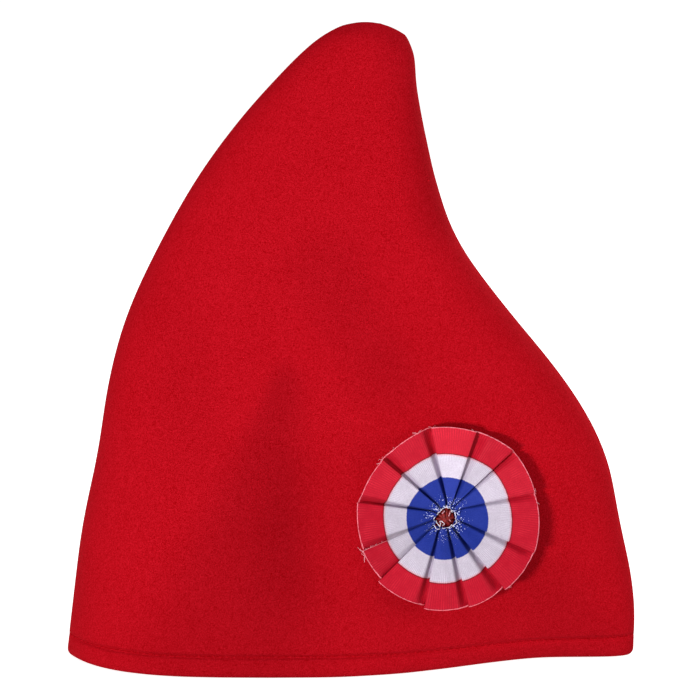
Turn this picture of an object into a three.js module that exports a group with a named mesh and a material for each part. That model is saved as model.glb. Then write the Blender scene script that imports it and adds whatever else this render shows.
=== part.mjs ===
// Phrygian cap: two felt side panels sewn edge to edge and hemmed at the rim, with a pleated
// ribbon cockade tacked to the front panel.
// Millimetres, +Z up. The cap stands on its rim, its tip leans towards +X, and -Y is the front.
import * as THREE from "three";

const { lerp, clamp, degToRad, smoothstep } = THREE.MathUtils;

// Felt and hem
const FELT = 2;
const HEM_HEIGHT = 9.5;
const HEM_WALL = 4.2;
const SEAM_GAP = 0.3;
const FRONT = -1;
const BACK = 1;

// The cap's sections, rim to tip. Each runs from the left seam to the right seam, both in the
// middle plane: rise bows it upwards, depth is how far it swells out to each side, peak is where
// across it is deepest, and pinch is how far its right end is pressed into a flat lip.
const SECTIONS = [
  { leftX: -125.4, leftZ: 0, rightX: 125.4, rightZ: 0, rise: 0, depth: 44, peak: 0.38, pinch: 1 },
  { leftX: -121.3, leftZ: 30.25, rightX: 124.7, rightZ: 30.25, rise: 0, depth: 42, peak: 0.41, pinch: 0.52 },
  { leftX: -116.9, leftZ: 60.5, rightX: 117.8, rightZ: 60.5, rise: 0, depth: 39.5, peak: 0.46, pinch: 0.2 },
  { leftX: -110, leftZ: 90.75, rightX: 111.5, rightZ: 90.75, rise: 0, depth: 36.5, peak: 0.49, pinch: 0.06 },
  { leftX: -105.2, leftZ: 121, rightX: 94.4, rightZ: 121, rise: 0, depth: 33.5, peak: 0.51, pinch: 0 },
  { leftX: -96.8, leftZ: 151.25, rightX: 69.7, rightZ: 151.25, rise: 0, depth: 30, peak: 0.52, pinch: 0 },
  { leftX: -82.5, leftZ: 181.5, rightX: 47, rightZ: 181.5, rise: 0, depth: 26.5, peak: 0.55, pinch: 0 },
  { leftX: -65.8, leftZ: 210.7, rightX: 37.5, rightZ: 206.7, rise: 0, depth: 23, peak: 0.58, pinch: 0 },
  { leftX: -47.9, leftZ: 234.9, rightX: 33.3, rightZ: 223.8, rise: 1, depth: 20, peak: 0.6, pinch: 0 },
  { leftX: -32.6, leftZ: 252.1, rightX: 30.3, rightZ: 238, rise: 2, depth: 17, peak: 0.6, pinch: 0 },
  { leftX: -20.2, leftZ: 264.7, rightX: 27.9, rightZ: 252.1, rise: 3.5, depth: 13.5, peak: 0.6, pinch: 0 },
  { leftX: -11, leftZ: 272, rightX: 27.2, rightZ: 263.4, rise: 4.5, depth: 8.8, peak: 0.6, pinch: 0 },
  { leftX: -2, leftZ: 276.6, rightX: 23.2, rightZ: 272.9, rise: 3, depth: 0, peak: 0.6, pinch: 0 },
];
const SECTION_STEP = 30.25; // height between the lower sections, which are level
const FLAT_POWER = 3.6; // how flat the middle of a section stays
const ROUND_POWER = 2.3; // how roundly its unpinched ends turn in to the seams
const RIM_ROUND_POWER = 1.45; // the same at the rim's left end, which is pressed narrower
const RIM_ROUND_RISE = 2; // sections over which that end grows rounder
const LIP = 0.24; // the pinched lip's share of the full half depth
const LIP_POWER = 24; // how squarely the lip ends
const LIP_START = 0.8; // where the lip begins, as a share of the way from the peak to its end
const LIP_FALL = 1.4; // how long the wall stays full before it falls to the lip

// Soft folds pressed into the felt, each along a valley line from its head down to its foot.
// leftWidth and rightWidth are how far its two slopes reach at the foot.
const FOLDS = [
  { side: FRONT, headX: -27, headZ: 134, footX: -3, footZ: 4, leftWidth: 66, rightWidth: 17, depth: 8 },
  { side: FRONT, headX: 2, headZ: 206, footX: 42, footZ: 106, leftWidth: 46, rightWidth: 30, depth: 4.2 },
  { side: FRONT, headX: -78, headZ: 168, footX: -70, footZ: 90, leftWidth: 24, rightWidth: 26, depth: 2 },
  { side: BACK, headX: 4, headZ: 178, footX: -22, footZ: 14, leftWidth: 30, rightWidth: 60, depth: 7 },
  { side: BACK, headX: 34, headZ: 120, footX: 66, footZ: 14, leftWidth: 34, rightWidth: 24, depth: 4 },
];
const FOLD_HEAD_WIDTH = 0.3; // a fold's width at its head, as a share of its width at its foot
const FOLD_FADE_IN = 0.4; // shares of a fold's length over which its depth comes and goes
const FOLD_FADE_OUT = 0.26;

// Rows of the hem: push moves the outer face out, and wall is the thickness there. Above the rim
// the push fades out over a few columns beside each seam.
const PUSH_COLUMNS = 4;
const HEM_ROWS = [
  { height: 0, push: -0.8, wall: HEM_WALL - 1.4 },
  { height: 1.3, push: 0, wall: HEM_WALL },
  { height: 0.52 * HEM_HEIGHT, push: 0.4, wall: HEM_WALL + 0.4 },
  { height: HEM_HEIGHT - 1.1, push: 0, wall: HEM_WALL },
  { height: HEM_HEIGHT, push: -0.7, wall: HEM_WALL - 0.9 },
  { height: HEM_HEIGHT + 1.1, push: -0.1, wall: FELT },
  { height: HEM_HEIGHT + 5, push: 0, wall: FELT },
];
const FIRST_BODY_ROW = 0.75; // in sections above the rim
const BODY_ROWS = 23;
const COLUMNS = 30;
const OUTLINE_POINTS = 90; // along a section, before its columns are spaced out
const END_CROWDING = 0.5; // how much closer the columns stand at the seams

// Cockade: a striped ribbon gathered round a hole into knife pleats
const COCKADE = { across: 0.672, section: 2.304, turn: 7.5, tilt: 4, radius: 39.2, hole: 4.2, standOff: 1.5 };
const RIBBON = 0.6;
const PLEAT_HEIGHT = { hole: 1.6, rim: 4.4 };
const DISH = 1.6; // how far the rim stands off further than the hole
const LAP = 8; // degrees of ribbon under each fold
const RADIAL_STEPS = 6;
const FACET_STEPS = 3;
// Folds clockwise from the top, in degrees. Each facet laps over the next one, apart from the
// first fold, where the facet after it lies on top. reach lengthens the facet after the fold.
const PLEATS = [
  { fold: -12, laps: -1, reach: 0.4 },
  { fold: 19, laps: 1, reach: -0.4 },
  { fold: 44.5, laps: 1, reach: 0.8 },
  { fold: 74, laps: 1, reach: 1.2 },
  { fold: 109.5, laps: 1, reach: 0.7 },
  { fold: 140, laps: 1, reach: -0.3 },
  { fold: 166, laps: 1, reach: 0 },
  { fold: 194.5, laps: 1, reach: -0.9 },
  { fold: 227, laps: 1, reach: -0.4 },
  { fold: 251.5, laps: 1, reach: 0 },
  { fold: 283, laps: 1, reach: 0.3 },
  { fold: 315, laps: 1, reach: 0.1 },
];

// The thread knot that tacks the cockade to the felt
const KNOT = { radius: 2.7, height: 2.6, sides: 12, gap: 0.4 };

const FELT_RED = new THREE.MeshStandardMaterial({ color: 0xc00c1e, roughness: 0.95, metalness: 0 });
const RIBBON_WHITE = new THREE.MeshStandardMaterial({ color: 0xded6e2, roughness: 0.55, metalness: 0 });
const THREAD_RED = new THREE.MeshStandardMaterial({ color: 0x8e0f16, roughness: 0.7, metalness: 0 });

// A smooth curve through columns of the section table, one point for each section.
function throughSections(...columns) {
  const points = SECTIONS.map((row) => new THREE.Vector3(...columns.map((name) => row[name])));
  return new THREE.CatmullRomCurve3(points, false, "catmullrom");
}

const leftEnds = throughSections("leftX", "leftZ", "rise");
const rightEnds = throughSections("rightX", "rightZ", "pinch");
const depths = throughSections("depth", "peak");

const superellipse = (x, power, round = ROUND_POWER) => (1 - clamp(x, 0, 1) ** power) ** (1 / round);

// The half depth at a share of the way across a section, as a share of its greatest. leftRound is
// how roundly its left end turns in.
function fullness(across, peak, pinch, leftRound) {
  if (across < peak) return superellipse(1 - across / peak, FLAT_POWER, leftRound);
  const out = (across - peak) / (1 - peak);
  const fall = 0.5 + 0.5 * Math.cos(Math.PI * Math.min(1, out / LIP_START) ** LIP_FALL);
  const lip = LIP * superellipse(out, LIP_POWER) + (1 - LIP) * fall;
  return lerp(superellipse(out, FLAT_POWER), lip, clamp(pinch, 0, 1));
}

// How far the folds of one side press the felt in at a place on it.
function foldDepth(side, x, z) {
  let sum = 0;
  for (const fold of FOLDS) {
    const down = (fold.headZ - z) / (fold.headZ - fold.footZ);
    if (fold.side !== side || down < 0 || down > 1) continue;
    const off = x - lerp(fold.headX, fold.footX, down);
    const width = (off < 0 ? fold.leftWidth : fold.rightWidth) * lerp(FOLD_HEAD_WIDTH, 1, down);
    const fade = smoothstep(down, 0, FOLD_FADE_IN) * (1 - smoothstep(down, 1 - FOLD_FADE_OUT, 1));
    sum += fold.depth * fade * (1 - smoothstep(Math.abs(off), 0, width));
  }
  return sum;
}

// A point of one panel's outer face. section counts up from the rim.
function panelPoint(side, across, section) {
  const share = section / (SECTIONS.length - 1);
  const left = leftEnds.getPoint(share);
  const right = rightEnds.getPoint(share);
  const depth = depths.getPoint(share);
  const bow = left.z * 4 * across * (1 - across);
  const slope = Math.atan2(right.y - left.y, right.x - left.x);
  const x = lerp(left.x, right.x, across) - bow * Math.sin(slope);
  const z = lerp(left.y, right.y, across) + bow * Math.cos(slope);
  const leftRound = lerp(RIM_ROUND_POWER, ROUND_POWER, smoothstep(section, 0, RIM_ROUND_RISE));
  const out = (depth.x - foldDepth(side, x, z)) * fullness(across, depth.y, right.z, leftRound);
  return new THREE.Vector3(x, side * Math.max(0, out), z);
}

// One row of a panel's outer face, its columns closest together at the seams.
function panelRow(side, section) {
  const outline = [];
  for (let i = 0; i <= OUTLINE_POINTS; i++) {
    const across = (1 - Math.cos((Math.PI * i) / OUTLINE_POINTS)) / 2;
    outline.push(panelPoint(side, across, section));
  }
  const curve = new THREE.CatmullRomCurve3(outline);
  const row = [];
  for (let i = 0; i <= COLUMNS; i++) {
    const even = i / COLUMNS;
    const crowd = (END_CROWDING * Math.sin(2 * Math.PI * even)) / (2 * Math.PI);
    row.push(curve.getPointAt(clamp(even - crowd, 0, 1)));
  }
  return row;
}

// The neighbours of a point on a panel's seam, going up the left seam, over the tip and down.
function seamNeighbours(grid, r, c) {
  const top = grid.length - 1;
  const low = Math.max(r - 1, 0);
  if (c === 0) return [grid[low][0], r < top ? grid[r + 1][0] : grid[r][1]];
  if (c === COLUMNS) return [r < top ? grid[r + 1][c] : grid[r][c - 1], grid[low][c]];
  return [grid[r][c - 1], grid[r][c + 1]];
}

// Outward normals of a panel's grid. They lie in the middle plane along the seam and level at
// the rim, so that the walls meet squarely there.
function panelNormals(side, grid) {
  const top = grid.length - 1;
  const normalAt = (r, c) => {
    if (c === 0 || c === COLUMNS || r === top) {
      const [before, after] = seamNeighbours(grid, r, c);
      return new THREE.Vector3(before.z - after.z, 0, after.x - before.x);
    }
    const along = grid[r][c + 1].clone().sub(grid[r][c - 1]);
    const up = grid[r + 1][c].clone().sub(grid[Math.max(r - 1, 0)][c]);
    return along.cross(up).multiplyScalar(-side);
  };
  return grid.map((row, r) =>
    row.map((_, c) => {
      const normal = normalAt(r, c);
      if (r === 0) normal.z = 0;
      return normal.normalize();
    }),
  );
}

// A closed solid through loops of points that all have the same length. The loops close on
// themselves in a ring, or the first and last loop are capped by joining point i to its mate.
function loft(loops, closedRing, flip) {
  const size = loops[0].length;
  const positions = loops.flat().flatMap((p) => [p.x, p.y, p.z]);
  const index = [];
  const quad = (a, b, c, d) => index.push(...(flip ? [a, c, b, a, d, c] : [a, b, c, a, c, d]));
  const spans = closedRing ? loops.length : loops.length - 1;
  for (let k = 0; k < spans; k++) {
    const next = (k + 1) % loops.length;
    for (let i = 0; i < size; i++) {
      const j = (i + 1) % size;
      quad(k * size + i, k * size + j, next * size + j, next * size + i);
    }
  }
  if (!closedRing) {
    const last = (loops.length - 1) * size;
    for (let i = 0; i < size / 2 - 1; i++) {
      const mate = size - 1 - i;
      quad(mate, mate - 1, i + 1, i);
      quad(last + i, last + i + 1, last + mate - 1, last + mate);
    }
  }
  const geometry = new THREE.BufferGeometry();
  geometry.setAttribute("position", new THREE.Float32BufferAttribute(positions, 3));
  geometry.setIndex(index);
  geometry.computeVertexNormals();
  return geometry;
}

// One felt side panel, its lower edge turned up inside as the hem.
function sidePanel(name, side) {
  const rows = HEM_ROWS.map((row) => ({ ...row, section: row.height / SECTION_STEP }));
  const step = (SECTIONS.length - 1 - FIRST_BODY_ROW) / (BODY_ROWS - 1);
  for (let i = 0; i < BODY_ROWS; i++) {
    rows.push({ section: FIRST_BODY_ROW + i * step, push: 0, wall: FELT });
  }
  const grid = rows.map((row) => panelRow(side, row.section));
  const normals = panelNormals(side, grid);
  const loops = rows.map((row, r) => {
    const push = (c) => row.push * (r > 0 ? smoothstep(Math.min(c, COLUMNS - c), 0, PUSH_COLUMNS) : 1);
    const outer = grid[r].map((p, c) => p.clone().addScaledVector(normals[r][c], push(c)));
    const inner = outer.map((p, c) => p.clone().addScaledVector(normals[r][c], -row.wall));
    return [...outer, ...inner.reverse()];
  });
  const panel = new THREE.Mesh(loft(loops, false, side === BACK), FELT_RED);
  panel.name = name;
  panel.position.y = (side * SEAM_GAP) / 2;
  return panel;
}

// The way the ribbon runs round the hole: angle in degrees and lift as a share of the pleats'
// height, doubling back under every fold.
function ribbonPath() {
  const turns = PLEATS.map(({ fold, laps }) => {
    const edge = { angle: fold, lift: 1 };
    const tuck = { angle: fold - laps * LAP, lift: 0 };
    return laps > 0 ? [edge, tuck] : [tuck, edge];
  });
  const path = [];
  PLEATS.forEach(({ reach }, i) => {
    const nextTurn = i + 1 < PLEATS.length ? turns[i + 1][0] : turns[0][0];
    const endAngle = nextTurn.angle + (i + 1 < PLEATS.length ? 0 : 360);
    const [first, start] = turns[i];
    path.push({ ...first, reach: PLEATS.at(i - 1).reach });
    for (let k = 0; k < FACET_STEPS; k++) {
      const share = k / FACET_STEPS;
      const angle = lerp(start.angle, endAngle, share);
      path.push({ angle, lift: lerp(start.lift, nextTurn.lift, share), reach });
    }
  });
  return path;
}

// Where the two faces of a thin strip lie at a corner of its path, mitred on the inside of the
// bend and blunt on the outside.
function stripFaces(before, here, after, thickness) {
  const into = here.clone().sub(before).normalize();
  const away = after.clone().sub(here).normalize();
  const normal = new THREE.Vector2(-into.y - away.y, into.x + away.x).normalize();
  const mitre = thickness / 2 / Math.max(0.1, normal.dot(new THREE.Vector2(-into.y, into.x)));
  const blunt = Math.min(mitre, thickness * 0.6);
  const turnsLeft = into.cross(away) > 0;
  return {
    face: here.clone().addScaledVector(normal, turnsLeft ? mitre : blunt),
    back: here.clone().addScaledVector(normal, turnsLeft ? -blunt : -mitre),
  };
}

// The pleated ribbon, lying in its own XY plane with its face towards +Z.
function cockadeRibbon() {
  const path = ribbonPath();
  const turnOf = (i) => Math.floor(i / path.length) * 360;
  const place = (i, out) => {
    const station = path[(i + path.length) % path.length];
    const radius = COCKADE.hole + (COCKADE.radius + station.reach - COCKADE.hole) * out;
    const height = lerp(PLEAT_HEIGHT.hole, PLEAT_HEIGHT.rim, out) * station.lift;
    const arc = degToRad(station.angle + turnOf(i)) * radius;
    return { radius, flat: new THREE.Vector2(arc, COCKADE.standOff + height + DISH * out * out) };
  };
  const bend = (flat, radius) => {
    const angle = flat.x / radius;
    return new THREE.Vector3(radius * Math.sin(angle), radius * Math.cos(angle), flat.y);
  };
  const loops = path.map((_, i) => {
    const face = [];
    const back = [];
    for (let k = 0; k <= RADIAL_STEPS; k++) {
      const out = k / RADIAL_STEPS;
      const { radius, flat } = place(i, out);
      const strip = stripFaces(place(i - 1, out).flat, flat, place(i + 1, out).flat, RIBBON);
      face.push(bend(strip.face, radius));
      back.push(bend(strip.back, radius));
    }
    return [...face, ...back.reverse()];
  });
  const ribbon = new THREE.Mesh(loft(loops, true, true), RIBBON_WHITE);
  ribbon.name = "cockade_ribbon";
  return ribbon;
}

function tackKnot() {
  const { radius, height, sides, gap } = KNOT;
  const profile = [
    [0, gap],
    [radius, gap],
    [1.1 * radius, gap + 0.4 * height],
    [0.7 * radius, gap + 0.85 * height],
    [0, gap + height],
  ];
  const geometry = new THREE.LatheGeometry(profile.map(([r, h]) => new THREE.Vector2(r, h)), sides);
  geometry.rotateX(Math.PI / 2);
  const knot = new THREE.Mesh(geometry, THREAD_RED);
  knot.name = "tack_knot";
  return knot;
}

// The cockade and its knot, set on the front panel, turned a little to the right and tilted back.
function cockade() {
  const group = new THREE.Group();
  group.add(cockadeRibbon(), tackKnot());
  group.position.copy(panelPoint(FRONT, COCKADE.across, COCKADE.section));
  group.rotation.set(degToRad(90 - COCKADE.tilt), 0, degToRad(COCKADE.turn), "ZYX");
  return group;
}

const cap = new THREE.Group();
cap.add(sidePanel("front_panel", FRONT), sidePanel("back_panel", BACK), cockade());

// The origin is the middle of the cap's box, on the surface that it stands on.
const middle = new THREE.Box3().setFromObject(cap, true).getCenter(new THREE.Vector3());
cap.children.forEach((piece) => piece.position.sub(new THREE.Vector3(middle.x, middle.y, 0)));

export default cap;
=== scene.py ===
"""A felt phrygian cap with a stitched hem and a pleated tricolour ribbon cockade."""
import math
import random
from functools import partial

import bmesh
import bpy
import numpy as np
from mathutils import Matrix, Vector, noise


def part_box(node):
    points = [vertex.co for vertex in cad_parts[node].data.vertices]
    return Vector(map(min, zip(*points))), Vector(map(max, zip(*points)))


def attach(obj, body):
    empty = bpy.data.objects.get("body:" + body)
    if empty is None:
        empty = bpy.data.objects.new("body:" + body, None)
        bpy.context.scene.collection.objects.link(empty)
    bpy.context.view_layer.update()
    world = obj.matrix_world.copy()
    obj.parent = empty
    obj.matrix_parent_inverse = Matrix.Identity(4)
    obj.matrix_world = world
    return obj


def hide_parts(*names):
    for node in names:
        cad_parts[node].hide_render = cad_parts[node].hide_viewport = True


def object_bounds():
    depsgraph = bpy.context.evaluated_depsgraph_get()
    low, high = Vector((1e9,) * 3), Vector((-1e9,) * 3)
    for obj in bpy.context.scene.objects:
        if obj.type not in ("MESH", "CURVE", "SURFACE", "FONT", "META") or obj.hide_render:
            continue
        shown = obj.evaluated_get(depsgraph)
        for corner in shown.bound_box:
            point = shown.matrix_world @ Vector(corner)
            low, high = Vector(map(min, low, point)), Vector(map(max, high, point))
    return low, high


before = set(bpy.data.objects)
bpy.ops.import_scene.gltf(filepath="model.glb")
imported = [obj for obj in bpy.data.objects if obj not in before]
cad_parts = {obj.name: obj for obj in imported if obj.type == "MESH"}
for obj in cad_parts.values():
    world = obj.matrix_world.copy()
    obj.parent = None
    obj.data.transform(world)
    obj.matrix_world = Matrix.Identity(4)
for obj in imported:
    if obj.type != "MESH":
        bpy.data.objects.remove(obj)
CAD_BOX = [list(corner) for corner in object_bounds()]

bl_info = {
    "name": "Phrygian cap",
    "version": (1, 0, 0),
    "blender": (4, 5, 0),
    "location": "3D View > Sidebar > Cap",
    "description": "Dresses a felt phrygian cap with its hem stitches and its pleated cockade",
    "category": "Object",
}

MM = 0.001
UP = Vector((0, 0, 1))
WHITE_LIGHT = (1, 1, 1, 1)

# What settings of one kind have in common
LENGTH = {"subtype": "DISTANCE", "unit": "LENGTH"}
ANGLE = {"subtype": "ANGLE", "unit": "ROTATION"}
POWER = {"subtype": "POWER", "unit": "POWER"}
COLOUR = {"subtype": "COLOR", "min": 0, "max": 1}


def table(keys, *rows):
    """Rows of values as dictionaries with those keys."""
    return tuple(dict(zip(keys.split(), row)) for row in rows)


# Felt panels: the side of the cap each one covers, along Y
PANELS = {"front_panel": -1, "back_panel": 1}
SEAM_Y = (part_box("front_panel")[1].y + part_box("back_panel")[0].y) / 2
WELD = 0.01 * MM  # distance within which the solid's loose corners are joined
PANEL_LEVELS = 2
SEAM_REACH = 3 * MM  # how near the seam plane an edge has to be to close up to it
SEAM_FACING = (0.1, 0.5)  # how squarely a face looks at the seam to begin closing up, and fully
SEAM_FULLNESS = 0.35 * MM  # how far the felt swells at the seam, where rounding drew it in
SEAM_FADE = 12 * MM  # from the seam, over which that fullness goes and the hem's relief comes in
WOBBLES = ((1, 55 * MM), (0.4, 18 * MM))  # share and size of the broad and the close unevenness
WOBBLE_FADE = 14 * MM  # from the seam, over which the unevenness comes in
COVER_FADE = 8 * MM  # outside the cockade's rim, over which the felt may swell again
LEVEL_HEIGHT = 6 * MM  # below which the felt is moved so that it stands on its rim
FOLD_HEIGHT = 3.2 * MM  # over which the felt rounds under at the rim, where it is folded in
FOLD_DEPTH = 0.8 * MM  # how far it has gone in at the bottom
HEM_ROWS = (-0.45 * MM, 0.45 * MM)  # cuts below and above the stitch line that hold its groove
GROOVE_DEPTH = 0.6 * MM
GROOVE_WIDTH = 0.9 * MM
PUCKER_DEPTH = 0.25 * MM  # of the felt's puckers beside the stitch line
PUCKER_SIZE = 7 * MM
PUCKER_REACH = 5 * MM
STITCH_SHARES = (0.06, 0.2, 0.5, 0.8, 0.94)  # places along one stitch
STITCH_RISE = (-1.6, -0.3, 0, -0.3, -1.6)  # how high each lies, in thicknesses of the thread
# Soft zones of painted shade, where the felt's folds, dents and turned-away sides fall into shade
# and its colour is darkened for it. Each runs from head to foot, x and z, and reaches to its left
# and right by so much at each, in millimetres.
PAINTED_SHADE_ZONES = table(
    "side head foot left right darker",
    (-1, (-29, 126), (-58, 0), (8, 56), (11, 54), 0.18),
    (-1, (-18, 86), (-14, 0), (20, 40), (16, 42), 0.07),
    (-1, (-9, 174), (14, 130), (26, 20), (22, 20), 0.09),
    (-1, (16, 136), (34, 106), (14, 12), (14, 12), 0.03),
    (-1, (-78, 160), (-66, 100), (18, 22), (16, 22), 0.04),
    (-1, (16, 50), (24, 0), (16, 20), (16, 30), 0.05),
    (-1, (86, 36), (108, 0), (20, 26), (20, 30), 0.07),
    (-1, (23, 262), (36, 202), (15, 14), (22, 22), 0.13),
    (1, (4, 170), (-22, 0), (4, 12), (4, 60), 0.13),
)
SHADE_ZONE_EDGE = (0.2, 1.2)  # where a zone begins to fade and where it ends, in its own reach
NAP_DEPTH = 0.3 * MM  # of the felt's fibres, in its material
PLY_DEPTH = 0.06 * MM  # of the twist of a thread
WEAVE_DEPTH = 0.12 * MM  # of the ribbon's ribs and slubs

# Ribbon folds clockwise from the top in degrees, from the ribbon's hidden start to its cut end.
# Each facet laps over the next, but at a fold with laps -1 the facet after it lies on top. deep is
# how far down the valley beside a fold goes, wide scales the way out of it and floor is the share
# of that way that stays down. lean is how far to the side of the hole's middle a fold points, and
# reach lengthens the facet after the fold at its start and at its end, in millimetres. The last
# column is painted light and shade: it scales the colour of the facet after the fold, for the sheen
# its weave would catch.
FOLDS = table(
    "angle laps deep wide floor lean reach tone",
    (-108.9, 1, 0.7, 1.0, 0.0, 1.1, (-1.5, 0.0), 0.86),
    (-77.8, 1, 1.0, 0.95, 0.1, 2.0, (-0.9, -1.2), 0.98),
    (-46.5, 1, 1.0, 1.25, 0.25, 1.6, (-1.6, 0.4), 0.96),
    (-10.2, -1, 1.0, 1.0, 0.0, 2.3, (0.6, -0.3), 1.17),
    (18.8, 1, 1.0, 1.6, 0.3, 0.3, (-0.2, 1.0), 0.93),
    (44.8, 1, 1.0, 0.9, 0.15, -1.7, (0.9, -0.4), 1.0),
    (74.7, 1, 0.75, 0.9, 0.1, -3.0, (-0.4, 1.0), 0.9),
    (112.8, 1, 0.8, 1.2, 0.0, -1.6, (1.1, 0.1), 0.86),
    (141.6, 1, 1.0, 1.5, 0.0, -0.1, (-0.6, -0.5), 0.89),
    (166.6, 1, 1.0, 1.3, 0.0, 0.1, (-0.4, -0.1), 0.9),
    (195.2, 1, 0.95, 1.3, 0.0, 1.9, (-1.2, 0.0), 0.91),
    (229.2, 1, 0.5, 1.2, 0.0, 1.1, (-1.7, -1.0), 0.8),
)
CUT_END = {"angle": 251.1, "laps": 1, "deep": 0.7, "floor": 0, "lean": 1.1}
# Where along each stretch of a facet, and along the way back under a fold, the ribbon is shaped
HIDDEN_SHARES = (0, 0.35, 0.7)
SLOPE_SHARES = (0, 0.14, 0.28, 0.42, 0.56, 0.7, 0.85)
LEVEL_SHARES = (0, 0.1, 0.2, 0.3, 0.4, 0.5, 0.6, 0.7, 0.8, 0.86, 0.9, 0.94, 0.97, 1)
RETURN_SHARES = (0.05, 0.14, 0.24, 0.36, 0.6, 0.85)
WIDTH_STEPS = 26
RIBBON_LEVELS = 1
RIM_LAP = 3  # degrees of ribbon under each fold at the rim
LAP_MARGIN = 2  # degrees left free between one fold and what lies under the next
MEAN_FACET = 30
VALLEY = 0.05  # lift of the ribbon where it comes out from under a fold
RIM_OPENING = 0.35  # how far that lift grows at the selvage
RIM_OPENS_FROM = 0.94  # share of the ribbon's width
LIFT_FROM = 0.7  # share of the hidden stretch after which the ribbon begins to lift
SHOULDER = 0.86  # lift where a facet levels out
FACET_SWELL = 0.22  # of the lift along a facet
EDGE_ROUND = 0.16  # how far the lift falls where a facet rounds over into its fold
EDGE_SHARE = 0.12  # of the level stretch that rounds over
HEIGHT_POWER = 0.55  # of the share across, for how high a fold stands
SLOPE_POWER = 1.5  # of the share across, for how far a facet takes to rise
SLOPE_MOST = 0.4  # of a facet
RETURN_GAP = 0.45  # millimetres from the lowest layer to the ribbon that runs back under a fold
RETURN_EDGE = 0.4  # share of the ribbon under a fold that comes down from the edge
TUCK = 1.2  # millimetres by which the ribbon under a fold draws back from the rim
RIM_STRAIGHTNESS = 0.12  # how far the rim runs straight from fold to fold
LEAN_RADIUS = 7  # millimetres, where the leaning fold lines have run together
# Unpressed creases within a facet: angles in degrees, depth as lift, and width in millimetres
SOFT_CREASES = (120.5, 176.5)
CREASE_DEPTH = 0.15
CREASE_WIDTH = 1.6
CREASE_RADIUS = 6  # millimetres, inside which a crease spans no wider angle
RIPPLES = ((0.22, 7), (0.06, 2))  # depth and size of the ribbon's unevenness, in millimetres
KNOT_TOP = 3.0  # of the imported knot, above the felt

# Stripes across the ribbon, from the hole to the rim
STRIPES = (
    (0.0, "blue"),
    (0.382, "blue"),
    (0.388, "white"),
    (0.645, "white"),
    (0.655, "pink"),
    (0.664, "pink"),
    (0.669, "border"),
    (0.677, "border"),
    (0.684, "red"),
    (1.0, "red"),
)
RIB_PITCH = 1.1  # millimetres from one rib of the weave to the next
HOLE_FLECKS = ((0.75, 0.42, "core_end"), (0.9, 0.4, "gap"))  # size, share and colour setting
RED_FROM = 0.67  # share of the ribbon's width
SELVAGE_FROM = 0.9935
CUT_THREADS = 0.3  # millimetres of pale threads along the cut end

# Where the gathered edge stands back and opens the hole: an angle, how far and how widely
HOLE_LOBES = table(
    "angle reach width",
    (232, 1.8, 17),
    (270, 0.9, 11),
    (15, 0.4, 14),
    (118, 0.4, 18),
)
LOBE_DEPTH = 0.13  # share of the ribbon's width that a lobe draws back

# Kinds of thread: thickness and one twist in millimetres, sides, roughness and shine. The hem's
# thickness is a setting.
HEM_THREAD, RIM_THREAD, CORE_THREAD, TACK_THREAD, LOOSE_THREAD_AND_HIGHLIGHT = table(
    "material thick sides twist rough shine",
    ("hem_thread", None, 6, 0.9, 0.85, 0.02),
    ("selvage_thread", 0.1, 4, 0.5, 0.7, 0.3),
    ("core_thread", 0.32, 5, 0.7, 0.6, 0.3),
    ("tack_thread", 1.5, 10, 2.2, 0.5, 0.3),
    ("pale_tack_thread", 0.5, 6, 1.1, 0.6, 0.3),
)

# Threads round the hole, as angles clockwise from the top and radii in millimetres
RING_THREADS = (
    ((268, 5.6), (279, 4.8), (287, 5.0), (299, 4.2)),
    ((303, 4.5), (318, 3.9), (331, 4.5)),
    ((329, 4.1), (341, 4.7), (354, 4.6), (3, 5.0), (12, 4.2)),
    ((29, 4.3), (36, 3.7), (45, 3.5)),
    ((53, 4.6), (70, 4.1), (84, 4.3), (96, 3.8)),
    ((103, 4.4), (116, 4.9), (131, 4.4), (146, 4.2)),
    ((138, 3.6), (152, 3.7), (163, 4.2), (178, 4.0)),
    ((262, 5.3), (249, 6.1), (234, 6.1), (222, 6.3), (212, 5.2)),
    ((258, 4.4), (246, 4.6), (229, 4.3), (217, 4.7)),
    ((240, 3.8), (250, 2.8), (230, 2.2), (195, 2.6), (208, 3.4)),
    ((236, 3.0), (226, 3.7), (219, 4.5)),
    ((186, 4.2), (197, 4.7), (205, 4.4)),
)
# These pale threads lie over the tack stitches; the first stands in for a painted highlight streak.
LOOSE_TACK_AND_HIGHLIGHT = (  # angle, radius and height of a pale thread that lies over the stitches
    ((34, 3.7, 2.7), (42, 2.3, 3.2), (60, 1.1, 3.3), (105, 0.9, 3.2), (126, 2.6, 2.8)),
    ((318, 2.6, 2.9), (334, 2.7, 3.1), (349, 3.1, 2.8)),
)
TACK_STITCHES = table(  # from and to angle, and how high the stitch crosses the hole
    "start end rise",
    (10, 196, 0.9),
    (64, 262, 1.3),
    (118, 300, 1.1),
    (152, 338, 1.6),
    (36, 222, 2.1),
    (84, 246, 1.9),
)
TACK_RADIUS = 4.0  # where a stitch goes into the felt
TACK_CROWN = 0.7  # how near the middle it crosses
TACK_FOOT = 0.9  # how high it comes out, which its rise is added to
TACK_SHOULDER = 0.6  # the same, for where it bends over
TACK_BEND = 0.55  # share of the way to the crown where it bends over
FRAY_PLACES = table(  # degrees round the rim, how many threads stand out there, and their length
    "angle count length",
    (-11, 9, 2.2),
    (17, 6, 1.8),
    (-47, 9, 2.0),
    (73, 7, 1.6),
    (139, 5, 1.5),
    (249, 12, 3.0),
)
FRAY_SEED = 7
FRAY_SPREAD = 1.4  # degrees
FRAY_ROOT = 0.988  # share of the ribbon's width where they come out
FRAY_SHARES = (0.4, 1.1)  # of their length that they may have
FRAY_LEANS = (0.2, 1.6)  # to the side, for each step out
FRAY_RISES = (-0.2, 0.4)
SHORT_FRAYS = 90
SHORT_FRAY = 0.5  # millimetres
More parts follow.
